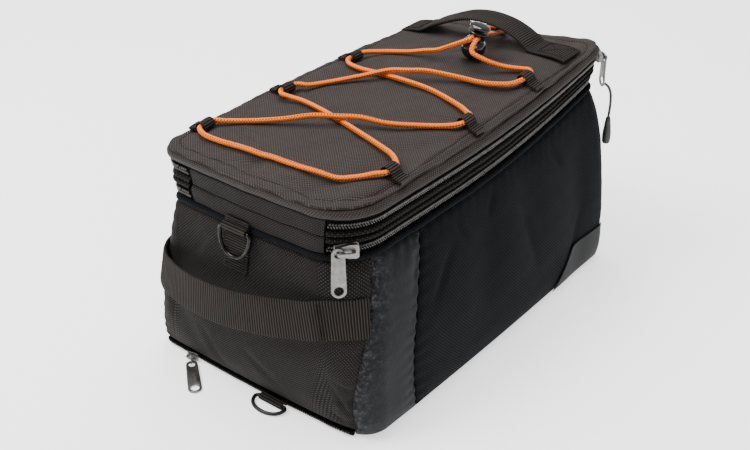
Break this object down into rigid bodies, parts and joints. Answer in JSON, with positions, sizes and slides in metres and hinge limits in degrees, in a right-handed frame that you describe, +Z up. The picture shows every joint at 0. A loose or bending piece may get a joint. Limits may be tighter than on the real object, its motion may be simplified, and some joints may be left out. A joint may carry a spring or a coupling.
{
  "type": "bicycle trunk bag",
  "caption": "Soft trunk bag for a bicycle carrier, zipped domed lid laced with elastic cord, webbing handles on the lid and front, D-ring and hanging zip pulls.",
  "frame": {"origin": "on the floor under the middle of the base panel", "axes": "+X to the bag's right side as seen from the front handle, +Y to the rear with the lid's handle, +Z up"},
  "size_m": [0.2274, 0.4044, 0.2375],
  "materials": {
    "woven_cloth": "plain woven polyester in dark grey, matt",
    "side_cloth": "fine woven cloth in near-black blue with a dotted sheen",
    "coated_cloth": "smooth coated cloth in dark grey, satin with crushed highlights",
    "webbing": "ribbed webbing in brown-black",
    "zip_tape": "black coil zip on knitted tape",
    "elastic": "bright orange braided elastic with dark flecks",
    "silver_metal": "nickel-plated die casting, soft shine",
    "dark_metal": "dark nickel-plated wire, polished",
    "black_plastic": "moulded black plastic, glossy",
    "grip_rubber": "soft black moulding, matt",
    "reflective": "grey reflective film on cloth"
  },
  "bodies": {
    "bag": {"side_panel_right": "side_cloth", "rear_panel": "woven_cloth", "side_panel_left": "side_cloth", "corner_panel_front_left": "coated_cloth", "front_panel": "woven_cloth", "corner_panel_front_right": "coated_cloth", "body_hem": "side_cloth", "lower_zip_front": "zip_tape", "lower_zip_corner": "zip_tape", "lower_zip": "zip_tape", "gusset_band": "woven_cloth", "upper_zip": "zip_tape", "lid_border": "woven_cloth", "front_band_lower": "woven_cloth", "front_band_upper": "woven_cloth", "base_zip": "zip_tape", "base_panel": "woven_cloth", "lid_panel": "woven_cloth", "cord_loop_right_front": "webbing", "cord_loop_right_middle": "webbing", "cord_loop_right_rear": "webbing", "cord_loop_left_front": "webbing", "cord_loop_left_middle": "webbing", "cord_loop_left_rear": "webbing", "cord_anchor": "webbing", "cord_lock_barrel": "black_plastic", "bungee_cord": "elastic", "top_handle": "webbing", "front_handle": "webbing", "d_ring_tab": "webbing", "webbing_tail": "webbing", "base_ring_tab": "webbing", "front_slider": "silver_metal", "rear_slider": "silver_metal", "base_slider": "silver_metal", "base_link": "silver_metal", "base_pull": "silver_metal", "reflective_patch": "reflective"},
    "front_pull_body": {"front_pull": "silver_metal"},
    "rear_pull_body": {"rear_pull": "silver_metal", "pull_cord": "webbing", "pull_grip": "grip_rubber"},
    "d_ring_body": {"d_ring": "dark_metal"},
    "base_ring_body": {"base_ring": "black_plastic"},
    "button_body": {"cord_lock_button": "black_plastic"}
  },
  "joints": [
    {"name": "front_pull_swing", "type": "hinge", "parent": "bag", "child": "front_pull_body", "pos_m": [0.0774, -0.16568, 0.15605], "axis": [-0.7071, 0.7071, 0], "range_deg": [-40, 40]},
    {"name": "rear_pull_swing", "type": "hinge", "parent": "bag", "child": "rear_pull_body", "pos_m": [0.09226, 0.18222, 0.1917], "axis": [-0.6494, -0.7604, 0], "range_deg": [-25, 25]},
    {"name": "d_ring_swing", "type": "hinge", "parent": "bag", "child": "d_ring_body", "pos_m": [-0.0155, -0.17423, 0.14565], "axis": [-1, -0.0001, 0], "range_deg": [0, 100]},
    {"name": "base_ring_swing", "type": "hinge", "parent": "bag", "child": "base_ring_body", "pos_m": [0.019, -0.1803, 0.0032], "axis": [-1, 0, 0], "range_deg": [0, 45]},
    {"name": "lock_button_press", "type": "slide", "parent": "bag", "child": "button_body", "axis": [-0.2197, -0.1798, -0.9589], "range_m": [0, 0.0022], "stiffness_N_per_m": 900, "springref_m": -0.002}
  ]
}
